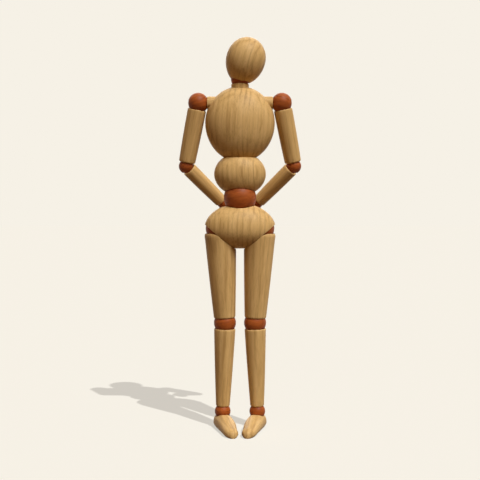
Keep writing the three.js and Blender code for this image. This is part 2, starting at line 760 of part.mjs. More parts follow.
// The pieces of one side, each in a frame at its joint's centre, as the right side has them
function sidePieces(side) {
  const named = (part) => `${side}_${part}`;
  const shoulderFrame = frame(named('shoulder'), shoulder, towardsMiddle, shoulderBend);
  shoulderFrame.add(
    piece(named('shoulder_stub'), shoulderStub(), paleWood),
    piece(named('shoulder_ball'),
      slottedBall(shoulderBallRadius, shoulderRest - shoulderRaise, shoulderRest, 0), stainedWood),
    piece(named('shoulder_eye'), eyeStud(shoulderHalfSpan - shoulderSpringHalf + headBehindCap), steel),
  );
  const upperArmFrame = frame(named('upper_arm'), shoulder, upperArmDown.clone().negate(), shoulderBend);
  upperArmFrame.add(
    piece(named('upper_arm'), limb(upperArmLength,
      { ball: shoulderBallRadius, radius: upperArmTopRadius, lip: armLip },
      { ball: elbowBallRadius, radius: upperArmEndRadius, lip: armLip }), paleWood),
    piece(named('upper_arm_spring'),
      studSpring(coilStart(shoulderBallRadius), coilEnd(upperArmLength, elbowBallRadius)), steel),
  );
  const elbowFrame = frame(named('elbow'), elbow, upperArmDown.clone().negate(), elbowBend);
  elbowFrame.add(
    piece(named('elbow_ball'), slottedBall(elbowBallRadius, 0, elbowRest, 0), stainedWood),
    piece(named('elbow_eye'), eyeStud(studHead(elbowBallRadius)), steel),
  );
  const forearmFrame = frame(named('forearm'), elbow, forearmDown.clone().negate(), elbowBend);
  forearmFrame.add(
    piece(named('forearm'), limb(forearmLength,
      { ball: elbowBallRadius, radius: forearmTopRadius, lip },
      { ball: wristBallRadius, radius: forearmEndRadius, lip }), paleWood),
    piece(named('forearm_spring'), linkSpring(coilStart(elbowBallRadius),
      coilGap(wristBallRadius) + coilLead - forearmLength, forearmLength), steel),
  );
  const wristAxis = forearmDown.clone().add(handDown).negate();
  const wristFrame = frame(named('wrist'), wrist, wristAxis, elbowBend);
  wristFrame.add(piece(named('wrist_ball'), flaredBead(wristBallRadius, wristFlare), stainedWood));
  const hookFrame = frame(named('hand_hook_frame'), wrist, handDown.clone().negate(), elbowBend);
  hookFrame.add(piece(named('hand_hook'), linkHook(handHookLength), steel));
  const handFrame = frame(named('hand'), wrist, handDown.clone().negate(), alongX);
  handFrame.add(piece(named('hand'), handSolid(), paleWood));

  const hipFrame = frame(named('hip'), hip, towardsMiddle, hipBend);
  hipFrame.add(
    piece(named('hip_ball'),
      slottedBall(hipBallRadius, hipRest - hipSpread, hipRest, hipCounterbore), stainedWood),
    piece(named('hip_eye'), eyeStud(hipHalfSpan - hipSpringHalf + headBehindCap), steel),
  );
  const thighFrame = frame(named('thigh'), hip, thighDown.clone().negate(), hipBend);
  thighFrame.add(
    piece(named('thigh'), thighSolid(), paleWood),
    piece(named('thigh_spring'),
      studSpring(coilStart(hipBallRadius), coilEnd(thighLength, kneeBallRadius)), steel),
  );
  const kneeFrame = frame(named('knee'), knee, thighDown.clone().negate(), kneeBend);
  kneeFrame.add(
    piece(named('knee_ball'), slottedBall(kneeBallRadius, 0, kneeRange, 0), stainedWood),
    piece(named('knee_eye'), eyeStud(studHead(kneeBallRadius)), steel),
  );
  const shinFrame = frame(named('shin'), knee, shinDown.clone().negate(), kneeBend);
  shinFrame.add(
    piece(named('shin'), limb(shinLength,
      { ball: kneeBallRadius, radius: shinTopRadius, lip },
      { ball: ankleBallRadius, radius: shinEndRadius, lip }), paleWood),
    piece(named('shin_spring'), linkSpring(coilStart(kneeBallRadius),
      coilGap(ankleBallRadius) + coilLead - shinLength, shinLength), steel),
  );
  const ankleFrame = frame(named('ankle'), ankle, shinDown.clone().negate(), alongX);
  ankleFrame.add(piece(named('ankle_ball'), flaredBead(ankleBallRadius, ankleFlare), stainedWood));
  const footFrame = frame(named('foot'), new THREE.Vector3(ankle.x, ankle.y, 0), alongZ,
    alongX.clone().applyAxisAngle(alongZ, footYaw * deg));
  const footHook = piece(named('foot_hook'), linkHook(ankleHeight - footHookEnd), steel);
  footHook.position.z = ankleHeight;
  footFrame.add(piece(named('foot'), footSolid(), paleWood), footHook);

  const group = new THREE.Group();
  group.add(shoulderFrame, upperArmFrame, elbowFrame, forearmFrame, wristFrame, hookFrame, handFrame);
  group.add(hipFrame, thighFrame, kneeFrame, shinFrame, ankleFrame, footFrame);
  return group;
}

function torsoPieces() {
  const pelvisFrame = frame('pelvis', pelvisCentre, alongZ, alongX);
  const hipSpring = piece('hip_spring', crossSpring(hipSpringHalf).rotateY(Math.PI / 2), steel);
  const waistEye = piece('waist_eye', linkHook(waistEyeLength).rotateZ(Math.PI / 2), steel);
  waistEye.position.z = waistAbovePelvis;
  pelvisFrame.add(piece('pelvis', pelvisSolid(), paleWood), hipSpring, waistEye);
  const waistFrame = frame('waist', waistCentre, alongZ, alongX);
  waistFrame.add(
    piece('waist_ball', flaredBead(waistBallRadius, waistFlare), stainedWood),
    piece('spine_spring', spineSpring(), steel),
  );
  const abdomenFrame = frame('abdomen', abdomenCentre, alongZ, alongX);
  abdomenFrame.add(piece('abdomen', abdomenSolid(), paleWood));
  const chestFrame = frame('chest', chestCentre, alongZ, alongX);
  const shoulderSpring = piece('shoulder_spring', crossSpring(shoulderSpringHalf).rotateY(Math.PI / 2), steel);
  shoulderSpring.position.z = shoulderRise;
  chestFrame.add(piece('chest', chestSolid(), paleWood), shoulderSpring, piece('chest_stud', chestStud(), steel));
  const neckFrame = frame('neck', neckBallCentre, alongZ, alongX);
  const neckEye = piece('neck_eye', linkHook(neckBallAboveChest + neckSpigot - clearance), steel);
  neckEye.rotation.z = Math.PI / 2;
  neckFrame.add(piece('neck', neckSolid(), paleWood), neckEye);
  const beadUp = headUp.clone().add(alongZ);
  const neckBallFrame = frame('neck_ball', neckBallCentre, beadUp, alongX);
  neckBallFrame.add(piece('neck_ball', flaredBead(neckBallRadius, neckFlare), stainedWood));
  const headFrame = frame('head', neckBallCentre, headUp, alongX);
  headFrame.add(piece('head', headSolid(), paleWood), piece('head_spring', headSpring(), steel));
  const group = new THREE.Group();
  group.add(pelvisFrame, waistFrame, abdomenFrame, chestFrame, neckFrame, neckBallFrame, headFrame);
  return group;
}

const rightSide = sidePieces('right');
const leftSide = sidePieces('left');
leftSide.scale.x = -1;

// The figure stands on Z = 0, with the middle of its box over the origin.
const mannequin = new THREE.Group();
mannequin.name = 'mannequin';
mannequin.add(torsoPieces(), rightSide, leftSide);
const box = new THREE.Box3().setFromObject(mannequin);
mannequin.position.y = -(box.min.y + box.max.y) / 2;
mannequin.updateMatrixWorld(true);

export default mannequin;
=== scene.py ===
import json
import math
import bmesh
import bpy
from mathutils import Matrix, Vector


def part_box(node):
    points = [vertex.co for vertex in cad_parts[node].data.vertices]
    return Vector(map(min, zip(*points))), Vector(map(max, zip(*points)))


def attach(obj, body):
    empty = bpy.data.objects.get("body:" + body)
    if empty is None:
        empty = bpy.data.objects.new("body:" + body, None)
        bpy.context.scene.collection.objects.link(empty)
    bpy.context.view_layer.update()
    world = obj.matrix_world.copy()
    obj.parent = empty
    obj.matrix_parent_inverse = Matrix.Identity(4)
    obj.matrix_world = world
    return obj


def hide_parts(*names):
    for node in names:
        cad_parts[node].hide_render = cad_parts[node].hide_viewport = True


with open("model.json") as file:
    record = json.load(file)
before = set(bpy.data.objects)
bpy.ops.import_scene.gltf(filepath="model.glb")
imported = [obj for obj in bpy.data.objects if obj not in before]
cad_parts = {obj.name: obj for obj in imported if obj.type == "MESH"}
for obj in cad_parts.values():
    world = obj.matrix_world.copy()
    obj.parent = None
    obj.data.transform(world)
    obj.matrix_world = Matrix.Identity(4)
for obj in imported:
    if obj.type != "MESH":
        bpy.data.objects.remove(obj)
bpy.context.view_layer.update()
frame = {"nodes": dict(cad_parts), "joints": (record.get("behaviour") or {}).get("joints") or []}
mm = 0.001
clearance = 0.3 * mm
mergeDistance = 0.002 * mm
through = 50 * mm  # far enough to cut through any piece
alongX = Vector((1, 0, 0))
alongY = Vector((0, 1, 0))
alongZ = Vector((0, 0, 1))
centres = {joint["name"]: Vector(joint["pos_m"]) for joint in frame["joints"]}
axes = {joint["name"]: Vector(joint["axis"]) for joint in frame["joints"]}
mirrorSide = {"right": Matrix.Identity(4), "left": Matrix.Scale(-1, 4, alongX)}


# wood and wire

paleWood = {
    "dark": (0.365, 0.200, 0.063, 1),
    "middle": (0.655, 0.425, 0.161, 1),
    "light": (0.755, 0.514, 0.222, 1),
    "line": (0.275, 0.130, 0.036, 1),
    "streakScale": 360,
    "poreScale": 2300,
    "patchScale": 95,
    "stretch": 0.04,
    "ringSpacing": 3.8 * mm,
    "ringWander": 6,
    "roughness": (0.42, 0.58),
    "bump": 0.12,
    "specular": 0.18,
}
ringAxis = (39 * mm, 7 * mm)  # from the middle of a piece to the heart of its log
stainedWood = {
    "dark": (0.180, 0.036, 0.005, 1),
    "middle": (0.355, 0.083, 0.013, 1),
    "light": (0.440, 0.113, 0.020, 1),
    "line": (0.145, 0.027, 0.0036, 1),
    "streakScale": 380,
    "poreScale": 2000,
    "patchScale": 170,
    "stretch": 0.09,
    "ringSpacing": 2.6 * mm,
    "ringWander": 3,
    "roughness": (0.42, 0.56),
    "bump": 0.08,
    "specular": 0.2,
}


grainLook = {
    "toneStops": (0.28, 0.47, 0.66),
    "lateWood": [(0, 0.75), (0.14, 0.4), (0.4, 0)],
    "patchStrength": [(0.40, 0.12), (0.64, 1)],
    "softening": 0.4,
    "specks": [(0.33, (0.80, 0.76, 0.72, 1)), (0.50, (1, 1, 1, 1))],
    "speckStrength": 0.7,
    "relief": 0.2 * mm,
}
wireLook = {
    "scuffScale": 1800,
    "tones": [(0.3, (0.22, 0.22, 0.23, 1)), (0.7, (0.42, 0.43, 0.44, 1))],
    "roughness": (0.25, 0.45),
}


def link(tree, source, target):
    tree.links.new(source, target)


def startMaterial(name):
    material = bpy.data.materials.new(name)
    material.use_nodes = True
    tree = material.node_tree
    return material, tree, tree.nodes["Principled BSDF"]


def grainNoise(tree, coords, scale, detail, distortion):
    noise = tree.nodes.new("ShaderNodeTexNoise")
    noise.inputs["Scale"].default_value = scale
    noise.inputs["Detail"].default_value = detail
    noise.inputs["Distortion"].default_value = distortion
    link(tree, coords, noise.inputs["Vector"])
    return noise.outputs["Fac"]


def ramp(tree, value, stops):
    node = tree.nodes.new("ShaderNodeValToRGB")
    while len(node.color_ramp.elements) < len(stops):
        node.color_ramp.elements.new(0.5)
    for element, (place, colour) in zip(node.color_ramp.elements, stops):
        element.position = place
        element.color = colour
    link(tree, value, node.inputs["Fac"])
    return node.outputs["Color"]


def greyRamp(tree, value, stops):
    return ramp(tree, value, [(place, (shade, shade, shade, 1)) for place, shade in stops])


def mixed(tree, blend, amount, first, second):
    node = tree.nodes.new("ShaderNodeMix")
    node.data_type = "RGBA"
    node.blend_type = blend
    if isinstance(amount, float):
        node.inputs["Factor"].default_value = amount
    else:
        link(tree, amount, node.inputs["Factor"])
    link(tree, first, node.inputs["A"])
    if isinstance(second, tuple):
        node.inputs["B"].default_value = second
    else:
        link(tree, second, node.inputs["B"])
    return node.outputs["Result"]


def setGloss(tree, shader, value, roughness):
    gloss = tree.nodes.new("ShaderNodeMapRange")
    gloss.inputs["To Min"].default_value, gloss.inputs["To Max"].default_value = roughness
    link(tree, value, gloss.inputs["Value"])
    link(tree, gloss.outputs["Result"], shader.inputs["Roughness"])


def grainCoords(tree, wood, centre, grain):
    place = tree.nodes.new("ShaderNodeTexCoord")
    turn = tree.nodes.new("ShaderNodeMapping")  # turns the grain along the piece
    turn.vector_type = "TEXTURE"
    turn.inputs["Location"].default_value = centre
    turn.inputs["Rotation"].default_value = alongZ.rotation_difference(grain).to_euler()
    link(tree, place.outputs["Object"], turn.inputs["Vector"])
    stretch = tree.nodes.new("ShaderNodeMapping")  # draws the pattern out along the grain
    apart = 37 * (centre.x + centre.y + centre.z)  # no two pieces share a pattern
    stretch.inputs["Location"].default_value = (*ringAxis, apart)
    stretch.inputs["Scale"].default_value = (1, 1, wood["stretch"])
    link(tree, turn.outputs["Vector"], stretch.inputs["Vector"])
    return stretch.outputs["Vector"]


def growthRings(tree, wood, coords):
    rings = tree.nodes.new("ShaderNodeTexWave")
    rings.wave_type = "RINGS"
    rings.rings_direction = "Z"
    rings.inputs["Scale"].default_value = math.pi / 10 / wood["ringSpacing"]
    rings.inputs["Distortion"].default_value = wood["ringWander"]
    rings.inputs["Detail"].default_value = 3
    rings.inputs["Detail Scale"].default_value = 0.9
    link(tree, coords, rings.inputs["Vector"])
    return rings.outputs["Fac"]


def woodMaterial(name, wood, centre, grain):
    material, tree, shader = startMaterial(name)
    coords = grainCoords(tree, wood, centre, grain)
    streak = grainNoise(tree, coords, wood["streakScale"], 5, 0.15)
    pore = grainNoise(tree, coords, wood["poreScale"], 2, 0)
    patches = grainNoise(tree, coords, wood["patchScale"], 2, 0)
    tones = [wood[tint] for tint in ("dark", "middle", "light")]
    tone = ramp(tree, streak, list(zip(grainLook["toneStops"], tones)))
    lateWood = greyRamp(tree, growthRings(tree, wood, coords), grainLook["lateWood"])
    strength = greyRamp(tree, patches, grainLook["patchStrength"])
    veins = mixed(tree, "MULTIPLY", 1.0, lateWood, strength)
    veined = mixed(tree, "MIX", veins, tone, wood["line"])
    softened = mixed(tree, "MIX", grainLook["softening"], veined, wood["middle"])
    specks = ramp(tree, pore, grainLook["specks"])
    speckled = mixed(tree, "MULTIPLY", grainLook["speckStrength"], softened, specks)
    link(tree, speckled, shader.inputs["Base Color"])
    setGloss(tree, shader, streak, wood["roughness"])
    relief = tree.nodes.new("ShaderNodeBump")
    relief.inputs["Strength"].default_value = wood["bump"]
    relief.inputs["Distance"].default_value = grainLook["relief"]
    link(tree, pore, relief.inputs["Height"])
    link(tree, relief.outputs["Normal"], shader.inputs["Normal"])
    shader.inputs["Specular IOR Level"].default_value = wood["specular"]
    return material


def wireMaterial():
    material, tree, shader = startMaterial("drawn_wire")
    place = tree.nodes.new("ShaderNodeTexCoord")
    scuffs = grainNoise(tree, place.outputs["Object"], wireLook["scuffScale"], 3, 0.1)
    link(tree, ramp(tree, scuffs, wireLook["tones"]), shader.inputs["Base Color"])
    setGloss(tree, shader, scuffs, wireLook["roughness"])
    shader.inputs["Metallic"].default_value = 1
    return material


# building helpers

def framed(origin, up, across):
    z = up.normalized()
    x = (across - z * across.dot(z)).normalized()
    turn = Matrix((x, z.cross(x), z)).transposed().to_4x4()
    return Matrix.Translation(origin) @ turn


def meshObject(name, bm):
    bmesh.ops.remove_doubles(bm, verts=bm.verts, dist=mergeDistance)
    bmesh.ops.recalc_face_normals(bm, faces=bm.faces)
    mesh = bpy.data.meshes.new(name)
    bm.to_mesh(mesh)
    bm.free()
    made = bpy.data.objects.new(name, mesh)
    bpy.context.scene.collection.objects.link(made)
    return made


def placed(name, bm, place):
    bmesh.ops.transform(bm, matrix=place, verts=bm.verts)
    return meshObject(name, bm)


def blended(first, second, share):
    return first + (second - first) * share


def arcPoints(radius, fromAngle, toAngle, height, steps):
    points = []
    for i in range(steps + 1):
        angle = fromAngle + (toAngle - fromAngle) * i / steps  # from the axis, at the ball's centre
        points.append((radius * math.sin(angle), height + radius * math.cos(angle)))
    return points


def turnedBody(points, steps=64):
    bm = bmesh.new()
    verts = [bm.verts.new((radius, 0, height)) for radius, height in points]
    edges = [bm.edges.new(pair) for pair in zip(verts, verts[1:])]
    if points[0][0] > 0:  # a ring has a closed outline
        edges.append(bm.edges.new((verts[-1], verts[0])))
    bmesh.ops.spin(bm, geom=verts + edges, cent=(0, 0, 0), axis=alongZ, dvec=(0, 0, 0),
                   angle=2 * math.pi, steps=steps, use_merge=True, use_duplicate=False)
    return bm


def roundBody(radius, segments=64):
    bm = bmesh.new()
    bmesh.ops.create_uvsphere(bm, u_segments=segments, v_segments=segments // 2, radius=radius)
    return bm


def swollenBody(halfWidth, halfDepth, rise, fall, segments=80):
    bm = roundBody(1, segments)
    for vert in bm.verts:
        vert.co.z *= rise if vert.co.z > 0 else fall
    bmesh.ops.scale(bm, vec=(halfWidth, halfDepth, 1), verts=bm.verts)
    return bm


def cutFlat(bm, height, normal):
    cut = bmesh.ops.bisect_plane(bm, geom=bm.verts[:] + bm.edges[:] + bm.faces[:], dist=1e-7,
                                 plane_co=(0, 0, height), plane_no=normal, clear_outer=True)
    rim = [item for item in cut["geom_cut"] if isinstance(item, bmesh.types.BMEdge)]
    bmesh.ops.contextual_create(bm, geom=rim)
    return bm


def peg(radius, low, high, segments=32):
    bm = bmesh.new()
    bmesh.ops.create_cone(bm, cap_ends=True, segments=segments, radius1=radius, radius2=radius,
                          depth=high - low)
    bmesh.ops.translate(bm, vec=(0, 0, (low + high) / 2), verts=bm.verts)
    return bm


def wedge(halfWidth, reach, fromAngle, toAngle):
    bm = bmesh.new()
    out = Vector((0, math.sin(fromAngle), -math.cos(fromAngle))) * reach
    corners = [Vector((-halfWidth, 0, 0)), Vector((halfWidth, 0, 0)),
               out + alongX * halfWidth, out - alongX * halfWidth]
    face = bm.faces.new([bm.verts.new(corner) for corner in corners])
    bmesh.ops.spin(bm, geom=[face, *face.edges, *face.verts], cent=(0, 0, 0), axis=alongX,
                   dvec=(0, 0, 0), angle=toAngle - fromAngle, steps=14, use_merge=False,
                   use_duplicate=False)
    bmesh.ops.remove_doubles(bm, verts=bm.verts, dist=mergeDistance)
    bmesh.ops.holes_fill(bm, edges=bm.edges, sides=0)
    return bm


def combined(piece, others, operation):
    for other in others:
        step = piece.modifiers.new("combine", "BOOLEAN")
        step.object = other
        step.operation = operation
        step.solver = "EXACT"
    evaluated = piece.evaluated_get(bpy.context.evaluated_depsgraph_get())
    piece.data = bpy.data.meshes.new_from_object(evaluated)
    piece.modifiers.clear()
    for other in others:
        bpy.data.objects.remove(other)
    return piece


def carved(piece, *cutters):
    return combined(piece, cutters, "DIFFERENCE")


edgeRounding = {"segments": 3, "angle": 38}


def finished(piece, node, body, material, edge):
    piece.name = node + "_look"
    piece.data.materials.clear()
    piece.data.materials.append(material)
    for face in piece.data.polygons:
        face.use_smooth = True
    rounding = piece.modifiers.new("edges", "BEVEL")
    rounding.width = edge
    rounding.segments = edgeRounding["segments"]
    rounding.limit_method = "ANGLE"
    rounding.angle_limit = math.radians(edgeRounding["angle"])
    rounding.harden_normals = True
    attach(piece, body)
    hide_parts(node)


def middleOf(node):
    return sum(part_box(node), Vector()) / 2


def pale(piece, node, body, grain, edge=0.5 * mm):
    material = woodMaterial(node + "_wood", paleWood, middleOf(node), grain)
    finished(piece, node, body, material, edge)


def stained(piece, node, body, grain, edge=0.4 * mm):
    material = woodMaterial(node + "_stain", stainedWood, middleOf(node), grain)
    finished(piece, node, body, material, edge)


boreRadius = 3.1 * mm
studRoom = 0.9 * mm
widestMouth = 0.92  # of a cup's own radius
sideSteps = 12


def rimDrop(ball, endRadius, lip):
    cup = ball + clearance
    mouth = min(endRadius - lip, widestMouth * cup)
    return math.sqrt(cup ** 2 - mouth ** 2)


def cupArc(ball, endRadius, lip, height, upper):
    cup = ball + clearance
    inner = math.asin(boreRadius / cup)
    outer = math.acos(rimDrop(ball, endRadius, lip) / cup)
    if upper:
        return arcPoints(cup, math.pi - inner, math.pi - outer, height, 10)
    return arcPoints(cup, outer, inner, height, 10)


def roundedRim(rim, side):
    points = []
    for i in range(1, 6):
        angle = math.pi / 12 * i
        radius = rim[0] + (side[0] - rim[0]) * math.sin(angle)
        points.append((radius, side[1] + (rim[1] - side[1]) * math.cos(angle)))
    return points


def taperedSides(limb, top, end):
    sides = []
    for i in range(sideSteps + 1):
        share = i / sideSteps
        radius = blended(limb["topRadius"], limb["endRadius"], share)
        sides.append((radius + limb["swell"] * math.sin(math.pi * share), blended(top, end, share)))
    return sides


def limbBody(length, limb):
    topEnd = (limb["topBall"], limb["topRadius"], limb["topLip"])
    lowEnd = (limb["endBall"], limb["endRadius"], limb["endLip"])
    topCup = cupArc(*topEnd, 0, True)
    endCup = cupArc(*lowEnd, -length, False)
    topSide = -rimDrop(*topEnd) - limb["roundOver"]
    endSide = rimDrop(*lowEnd) - length + limb["roundOver"]
    sides = taperedSides(limb, topSide, endSide)
    return turnedBody([*topCup, *roundedRim(topCup[-1], sides[0]), *sides,
                       *roundedRim(endCup[0], sides[-1])[::-1], *endCup])


def beadBody(radius, flare, bore=2.4 * mm):
    outside = arcPoints(radius, math.radians(flare), math.pi - math.radians(flare), 0, 32)
    return turnedBody([*outside, (bore, 0)])


slotSizes = {"halfWidth": 2.2 * mm, "eyeRoom": 2.1 * mm, "wireRoom": 0.7 * mm, "reach": 1.4}


def slottedBall(name, radius, place, fromAngle, toAngle, counterbore=0):
    spare = math.asin(slotSizes["wireRoom"] / slotSizes["eyeRoom"])
    half = slotSizes["halfWidth"]
    outside = slotSizes["reach"] * radius
    slot = wedge(half, outside, math.radians(fromAngle) - spare, math.radians(toAngle) + spare)
    eye = peg(slotSizes["eyeRoom"], -half, half)
    aside = Matrix.Rotation(math.pi / 2, 3, "Y")
    bmesh.ops.rotate(eye, cent=(0, 0, 0), matrix=aside, verts=eye.verts)
    ball = placed(name, roundBody(radius), place)
    cutters = [placed("slot", slot, place), placed("eye", eye, place),
               placed("stud", peg(studRoom, 0, outside), place)]
    if counterbore:
        seat = peg(boreRadius, radius - counterbore, outside)
        cutters.append(placed("seat", seat, place))
    return carved(ball, *cutters)


def turnAngle(first, second):
    return math.degrees(first.angle(second))


# torso

waist = centres["waist_tilt"]
chestCentre = centres["chest_turn"]
neckCentre = centres["neck_tilt"]
shoulderRight = centres["right_shoulder_swing"]
hipRight = centres["right_hip_swing"]
pelvisCentre = Vector((0, waist.y, hipRight.z))

chestShape = {"halfWidth": 26.6 * mm, "halfDepth": 18 * mm, "rise": 27.7 * mm, "fall": 30 * mm,
              "base": -26.88 * mm, "studEnd": 9.2 * mm}
neckShape = {"ball": 6.9 * mm, "radius": 6.75 * mm, "lip": 0.6 * mm, "spigot": 7 * mm}
stubShape = {"ball": 7.85 * mm, "radius": 5 * mm, "lip": 0.6 * mm, "tenon": 5 * mm}
shoulderRise = shoulderRight.z - chestCentre.z
shoulderSpan = -shoulderRight.x
chestSide = chestShape["halfWidth"] * math.sqrt(1 - (shoulderRise / chestShape["rise"]) ** 2)
stubInner = chestSide - stubShape["tenon"]
neckAbove = neckCentre.z - chestCentre.z
chestPlace = Matrix.Translation(chestCentre)
crossPlace = framed(chestCentre + alongZ * shoulderRise, alongX, alongY)

chest = swollenBody(chestShape["halfWidth"], chestShape["halfDepth"], chestShape["rise"],
                    chestShape["fall"])
chest = placed("chest", cutFlat(chest, chestShape["base"], -alongZ), chestPlace)
neckHoleEnd = chestShape["rise"] - neckShape["spigot"] - clearance
neckHole = peg(neckShape["radius"] + clearance, neckHoleEnd, through, 64)
stubRoom = stubShape["radius"] + clearance
chest = carved(
    chest,
    placed("neck_hole", neckHole, chestPlace),
    placed("cross_bore", peg(boreRadius, -through, through), crossPlace),
    placed("right_seat", peg(stubRoom, -through, clearance - stubInner, 48), crossPlace),
    placed("left_seat", peg(stubRoom, stubInner - clearance, through, 48), crossPlace),
    placed("stud_hole", peg(studRoom, -through, chestShape["studEnd"]), chestPlace),
)
pale(chest, "chest", "chest", Vector((0.05, 0, 1)))

abdomenShape = {"halfWidth": 19.8 * mm, "halfDepth": 14.5 * mm, "halfHeight": 16.5 * mm,
                "top": 12.2 * mm, "above": 18 * mm}
waistBall = {"radius": 12.4 * mm, "flare": 32}
abdomenPlace = Matrix.Translation(waist + alongZ * abdomenShape["above"])
abdomen = swollenBody(abdomenShape["halfWidth"], abdomenShape["halfDepth"],
                      abdomenShape["halfHeight"], abdomenShape["halfHeight"])
abdomen = placed("abdomen", cutFlat(abdomen, abdomenShape["top"], alongZ), abdomenPlace)
abdomen = carved(
    abdomen,
    placed("waist_cup", roundBody(waistBall["radius"] + clearance), Matrix.Translation(waist)),
    placed("spine_bore", peg(boreRadius, -through, through), abdomenPlace),
)
pale(abdomen, "abdomen", "abdomen", Vector((-0.04, 0.05, 1)))
waistBead = beadBody(waistBall["radius"], waistBall["flare"])
waistBead = placed("waist", waistBead, Matrix.Translation(waist))
stained(waistBead, "waist_ball", "waist_ball", Vector((1, 0, 0.1)))

pelvisShape = {"halfWidth": 27.2 * mm, "radius": 16 * mm, "rise": 18.9 * mm, "flat": -15.4 * mm,
               "openAt": 24 * mm, "openTop": 0.5 * mm, "openSlant": 40, "eyeHole": (4.2 * mm, 24 * mm)}
hipShape = {"ball": 11 * mm, "boss": 3.5 * mm, "gap": 0.5 * mm, "swing": 25, "spread": 25,
            "slotLean": 2.9, "counterbore": 3.6 * mm}
hipSpan = -hipRight.x
pelvisPlace = Matrix.Translation(pelvisCentre)


def pelvisForm(spare):
    return swollenBody(pelvisShape["halfWidth"] + spare, pelvisShape["radius"] + spare,
                       pelvisShape["rise"] + spare, pelvisShape["radius"] + spare)


def hipCutters(side):
    turn = mirrorSide[side] @ Matrix.Translation(pelvisCentre - alongX * hipSpan)
    bossAngle = math.asin((hipShape["boss"] + clearance) / (hipShape["ball"] + clearance))
    half = math.radians(hipShape["swing"] + 1) + bossAngle
    outer = pelvisShape["halfWidth"]
    lean = pelvisShape["radius"] * math.tan(math.radians(hipShape["slotLean"]))
    inner = hipShape["boss"] + 2 * clearance + lean
    slot = wedge((outer + inner) / 2, 3 * pelvisShape["radius"], -half, half)
    bmesh.ops.translate(slot, vec=(inner - (outer + inner) / 2, 0, 0), verts=slot.verts)
    opening = bmesh.new()
    bmesh.ops.create_cube(opening, size=2 * outer)
    bmesh.ops.translate(opening, verts=opening.verts, vec=(0, 0, -outer))
    slant = Matrix.Rotation(math.radians(pelvisShape["openSlant"]), 3, "Y")
    bmesh.ops.rotate(opening, cent=(0, 0, 0), matrix=slant, verts=opening.verts)
    corner = (hipSpan - pelvisShape["openAt"], 0, pelvisShape["openTop"])
    bmesh.ops.translate(opening, verts=opening.verts, vec=corner)
    return [placed("hip_cup", roundBody(hipShape["ball"] + clearance), turn),
            placed("hip_slot", slot, turn), placed("hip_opening", opening, turn)]


pelvis = placed("pelvis", cutFlat(pelvisForm(0), pelvisShape["flat"], -alongZ), pelvisPlace)
pelvis = carved(
    pelvis,
    placed("waist_cup", roundBody(waistBall["radius"] + clearance), Matrix.Translation(waist)),
    placed("waist_eye_hole", peg(studRoom, *pelvisShape["eyeHole"]), pelvisPlace),
    placed("hip_bore", peg(boreRadius, -hipSpan, hipSpan), framed(pelvisCentre, alongX, alongY)),
    *hipCutters("right"),
    *hipCutters("left"),
)
pale(pelvis, "pelvis", "pelvis", Vector((0.03, 0.08, 1)))
print("torso built")


# head and neck

headShape = {"halfWidth": 15 * mm, "rise": 18 * mm, "fall": 18.2 * mm, "crown": 0.06,
             "above": 14.6 * mm, "lean": 3.5, "bore": 23.9 * mm, "flare": 34, "tilt": 5, "nod": 12}
nod = axes["head_nod"]
headUp = Vector((-nod.z, 0, nod.x))
headPlace = framed(neckCentre, headUp, alongX)
egg = roundBody(1, 80)
for vert in egg.verts:
    widen = 1 + headShape["crown"] * vert.co.z
    vert.co.x *= widen
    vert.co.y *= widen
    vert.co.z *= headShape["rise"] if vert.co.z > 0 else headShape["fall"]
lean = Matrix.Rotation(math.radians(headShape["lean"]), 3, "X")
bmesh.ops.scale(egg, vec=(headShape["halfWidth"], headShape["halfWidth"], 1), verts=egg.verts)
bmesh.ops.translate(egg, vec=(0, 0, headShape["above"]), verts=egg.verts)
bmesh.ops.rotate(egg, cent=(0, 0, 0), matrix=lean, verts=egg.verts)
neckRim = rimDrop(neckShape["ball"], neckShape["radius"], neckShape["lip"])
neckRooms = []
for nodding in (-headShape["nod"], headShape["nod"]):  # the neck at the ends of tilt and nod
    turned = (Matrix.Translation(neckCentre) @ Matrix.Rotation(-math.radians(nodding), 4, nod)
              @ Matrix.Rotation(-math.radians(headShape["tilt"]), 4, axes["neck_tilt"]))
    room = peg(neckShape["radius"] + clearance, -2 * neckShape["ball"], clearance - neckRim, 64)
    neckRooms.append(placed("neck_room", room, turned))
head = carved(
    placed("head", egg, headPlace),
    *neckRooms,
    placed("neck_cup", roundBody(neckShape["ball"] + clearance), headPlace),
    placed("head_bore", peg(boreRadius, 0, headShape["bore"]), headPlace),
)
pale(head, "head", "head", headUp)
neckBead = placed("neck_bead", beadBody(neckShape["ball"], headShape["flare"]),
                  framed(neckCentre, headUp + alongZ, alongX))
stained(neckBead, "neck_ball", "neck_ball", Vector((1, 0, 0.2)))

neckCup = neckShape["ball"] + clearance
neckBottom = chestShape["rise"] - neckShape["spigot"] - neckAbove
cupStart, cupEnd = math.pi - math.asin(studRoom / neckCup), math.pi - math.acos(neckRim / neckCup)
neckRing = turnedBody([
    *arcPoints(neckCup, cupStart, cupEnd, 0, 12),
    (neckShape["radius"], -neckRim),
    (neckShape["radius"], neckBottom),
    (studRoom, neckBottom),
])
pale(placed("neck", neckRing, Matrix.Translation(neckCentre)), "neck", "neck", alongZ, 0.3 * mm)
print("head and neck built")


# arms, as the right side has them

